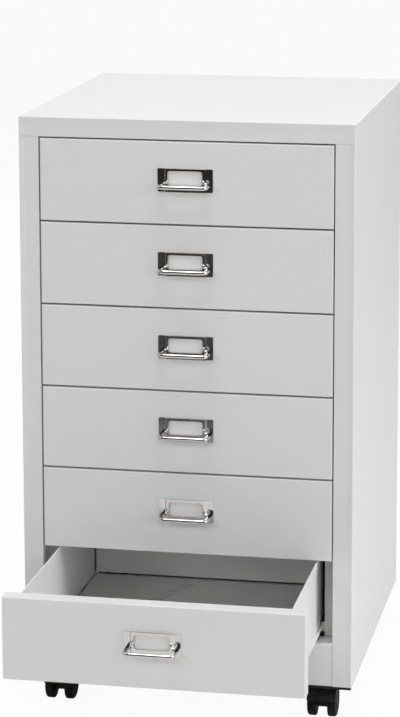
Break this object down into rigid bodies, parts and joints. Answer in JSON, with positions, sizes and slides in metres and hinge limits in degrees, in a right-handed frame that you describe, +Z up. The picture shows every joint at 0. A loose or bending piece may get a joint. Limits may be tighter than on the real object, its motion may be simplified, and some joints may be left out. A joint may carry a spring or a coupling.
{
  "type": "mobile pedestal",
  "caption": "Tall steel office pedestal of sliding drawers with label-window wire pulls, on swivelling twin-wheel castors, its lowest drawer part open.",
  "frame": {"origin": "centre of the floor footprint of the whole part as it rests, with its lowest drawer pulled out 195 mm", "axes": "+Z up; the drawers open along -Y; +X to the right as seen from the front"},
  "size_m": [0.4, 0.6514, 0.723],
  "materials": {
    "cabinet_paint": "fine satin powder coat, light grey",
    "front_paint": "fine satin powder coat, light grey",
    "tray_paint": "satin powder coat, light grey",
    "inner_paint": "satin powder coat, light grey",
    "bright_steel": "zinc-plated",
    "nylon": "natural nylon",
    "chrome": "bright chrome plate",
    "card": "plain off-white card",
    "black_plastic": "moulded black nylon",
    "wheel_plastic": "moulded black nylon, lightly worn"
  },
  "bodies": {
    "cabinet": {"shell": "cabinet_paint", "back_panel": "cabinet_paint", "back_screws": "bright_steel", "base_pan": "cabinet_paint", "bottom_rail": "cabinet_paint", "front_uprights": "inner_paint", "rear_uprights": "inner_paint", "runners_left": "bright_steel", "runners_right": "bright_steel", "runner_glides": "nylon", "castor_plates": "black_plastic", "castor_screws": "bright_steel"},
    "drawer_1": {"drawer_1_front": "front_paint", "drawer_1_tray": "tray_paint", "drawer_1_rails": "tray_paint", "drawer_1_handle_plate": "chrome", "drawer_1_pull": "chrome", "drawer_1_label_card": "card"},
    "drawer_2": {"drawer_2_front": "front_paint", "drawer_2_tray": "tray_paint", "drawer_2_rails": "tray_paint", "drawer_2_handle_plate": "chrome", "drawer_2_pull": "chrome", "drawer_2_label_card": "card"},
    "drawer_3": {"drawer_3_front": "front_paint", "drawer_3_tray": "tray_paint", "drawer_3_rails": "tray_paint", "drawer_3_handle_plate": "chrome", "drawer_3_pull": "chrome", "drawer_3_label_card": "card"},
    "drawer_4": {"drawer_4_front": "front_paint", "drawer_4_tray": "tray_paint", "drawer_4_rails": "tray_paint", "drawer_4_handle_plate": "chrome", "drawer_4_pull": "chrome", "drawer_4_label_card": "card"},
    "drawer_5": {"drawer_5_front": "front_paint", "drawer_5_tray": "tray_paint", "drawer_5_rails": "tray_paint", "drawer_5_handle_plate": "chrome", "drawer_5_pull": "chrome", "drawer_5_label_card": "card"},
    "drawer_6": {"drawer_6_front": "front_paint", "drawer_6_tray": "tray_paint", "drawer_6_rails": "tray_paint", "drawer_6_handle_plate": "chrome", "drawer_6_pull": "chrome", "drawer_6_label_card": "card"},
    "castor_front_left": {"castor_front_left_housing": "black_plastic"},
    "castor_front_left_wheels": {"castor_front_left_wheels": "wheel_plastic", "castor_front_left_axle": "bright_steel"},
    "castor_front_right": {"castor_front_right_housing": "black_plastic"},
    "castor_front_right_wheels": {"castor_front_right_wheels": "wheel_plastic", "castor_front_right_axle": "bright_steel"},
    "castor_rear_left": {"castor_rear_left_housing": "black_plastic"},
    "castor_rear_left_wheels": {"castor_rear_left_wheels": "wheel_plastic", "castor_rear_left_axle": "bright_steel"},
    "castor_rear_right": {"castor_rear_right_housing": "black_plastic"},
    "castor_rear_right_wheels": {"castor_rear_right_wheels": "wheel_plastic", "castor_rear_right_axle": "bright_steel"}
  },
  "joints": [
    {"name": "drawer_1_slide", "type": "slide", "parent": "cabinet", "child": "drawer_1", "axis": [0, -1, 0], "range_m": [0, 0.3]},
    {"name": "drawer_2_slide", "type": "slide", "parent": "cabinet", "child": "drawer_2", "axis": [0, -1, 0], "range_m": [0, 0.3]},
    {"name": "drawer_3_slide", "type": "slide", "parent": "cabinet", "child": "drawer_3", "axis": [0, -1, 0], "range_m": [0, 0.3]},
    {"name": "drawer_4_slide", "type": "slide", "parent": "cabinet", "child": "drawer_4", "axis": [0, -1, 0], "range_m": [0, 0.3]},
    {"name": "drawer_5_slide", "type": "slide", "parent": "cabinet", "child": "drawer_5", "axis": [0, -1, 0], "range_m": [0, 0.3]},
    {"name": "drawer_6_slide", "type": "slide", "parent": "cabinet", "child": "drawer_6", "axis": [0, -1, 0], "range_m": [-0.195, 0.105]},
    {"name": "castor_front_left_swivel", "type": "hinge", "parent": "cabinet", "child": "castor_front_left", "pos_m": [-0.162, -0.06225, 0.046], "axis": [0, 0, 1], "continuous": true},
    {"name": "castor_front_left_roll", "type": "hinge", "parent": "castor_front_left", "child": "castor_front_left_wheels", "pos_m": [-0.162, -0.07625, 0.019], "axis": [1, 0, 0], "continuous": true},
    {"name": "castor_front_right_swivel", "type": "hinge", "parent": "cabinet", "child": "castor_front_right", "pos_m": [0.162, -0.06225, 0.046], "axis": [0, 0, 1], "continuous": true},
    {"name": "castor_front_right_roll", "type": "hinge", "parent": "castor_front_right", "child": "castor_front_right_wheels", "pos_m": [0.162, -0.07625, 0.019], "axis": [1, 0, 0], "continuous": true},
    {"name": "castor_rear_left_swivel", "type": "hinge", "parent": "cabinet", "child": "castor_rear_left", "pos_m": [-0.162, 0.28375, 0.046], "axis": [0, 0, 1], "continuous": true},
    {"name": "castor_rear_left_roll", "type": "hinge", "parent": "castor_rear_left", "child": "castor_rear_left_wheels", "pos_m": [-0.162, 0.26975, 0.019], "axis": [1, 0, 0], "continuous": true},
    {"name": "castor_rear_right_swivel", "type": "hinge", "parent": "cabinet", "child": "castor_rear_right", "pos_m": [0.162, 0.28375, 0.046], "axis": [0, 0, 1], "continuous": true},
    {"name": "castor_rear_right_roll", "type": "hinge", "parent": "castor_rear_right", "child": "castor_rear_right_wheels", "pos_m": [0.162, 0.26975, 0.019], "axis": [1, 0, 0], "continuous": true}
  ]
}
